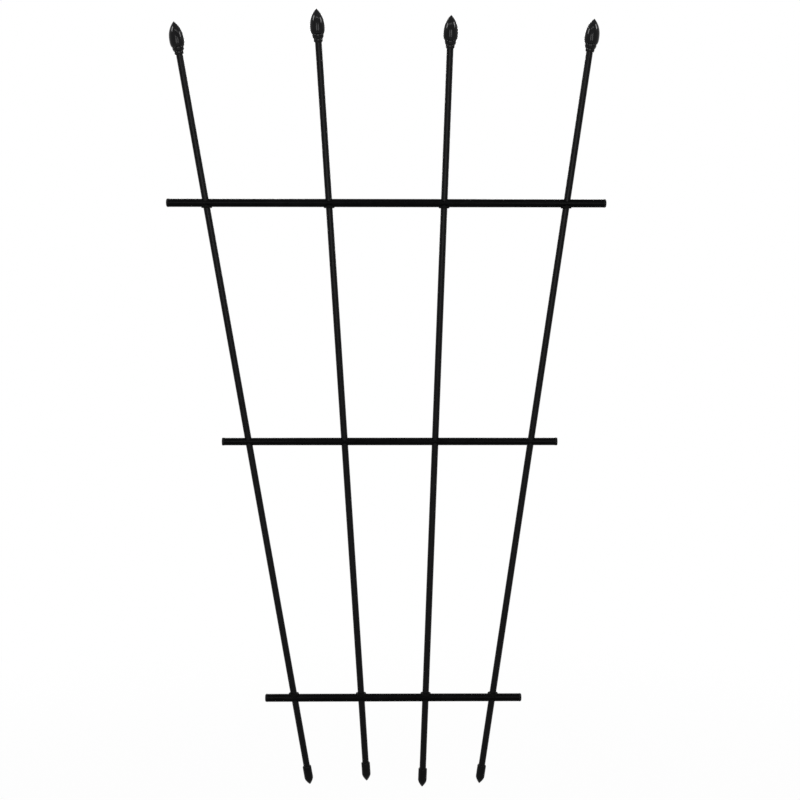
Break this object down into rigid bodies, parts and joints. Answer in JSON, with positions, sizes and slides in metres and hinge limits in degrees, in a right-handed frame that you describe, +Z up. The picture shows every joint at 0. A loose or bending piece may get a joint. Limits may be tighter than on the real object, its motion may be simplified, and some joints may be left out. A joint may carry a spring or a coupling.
{
  "type": "espalier frame",
  "caption": "Fan-shaped espalier frame: slim tube uprights with bud finials and pointed feet, threaded through level cross bars, to hold a trained plant.",
  "frame": {"origin": "on the soil line, straight below the middle of the bottom bar, in the plane of the frame", "axes": "+Z up, +X to the right seen from the front, +Y to the back, square to the frame"},
  "size_m": [0.828, 0.028, 1.5022],
  "materials": {
    "coated_steel": "smooth satin black coating",
    "finial_plastic": "glossy black moulding",
    "foot_plastic": "satin black moulding",
    "cap_plastic": "satin black moulding",
    "grommet_rubber": "dull black rubber"
  },
  "bodies": {
    "bars": {"bottom_bar": "coated_steel", "middle_bar": "coated_steel", "top_bar": "coated_steel", "bottom_left_cap": "cap_plastic", "bottom_right_cap": "cap_plastic", "middle_left_cap": "cap_plastic", "middle_right_cap": "cap_plastic", "top_left_cap": "cap_plastic", "top_right_cap": "cap_plastic", "bottom_grommet_1": "grommet_rubber", "bottom_grommet_2": "grommet_rubber", "bottom_grommet_3": "grommet_rubber", "bottom_grommet_4": "grommet_rubber", "top_grommet_1": "grommet_rubber", "top_grommet_2": "grommet_rubber", "top_grommet_3": "grommet_rubber", "top_grommet_4": "grommet_rubber"},
    "upright_1": {"upright_1": "coated_steel", "finial_1": "finial_plastic", "foot_1": "foot_plastic"},
    "upright_2": {"upright_2": "coated_steel", "finial_2": "finial_plastic", "foot_2": "foot_plastic"},
    "upright_3": {"upright_3": "coated_steel", "finial_3": "finial_plastic", "foot_3": "foot_plastic"},
    "upright_4": {"upright_4": "coated_steel", "finial_4": "finial_plastic", "foot_4": "foot_plastic"}
  },
  "joints": [
    {"name": "upright_1_slide", "type": "slide", "parent": "bars", "child": "upright_1", "axis": [-0.163, 0, 0.9866], "range_m": [-0.266, 0.131]},
    {"name": "upright_2_slide", "type": "slide", "parent": "bars", "child": "upright_2", "axis": [-0.0613, 0, 0.9981], "range_m": [-0.287, 0.123]},
    {"name": "upright_3_slide", "type": "slide", "parent": "bars", "child": "upright_3", "axis": [0.0331, 0, 0.9995], "range_m": [-0.276, 0.136]},
    {"name": "upright_4_slide", "type": "slide", "parent": "bars", "child": "upright_4", "axis": [0.1357, 0, 0.9907], "range_m": [-0.272, 0.129]}
  ]
}
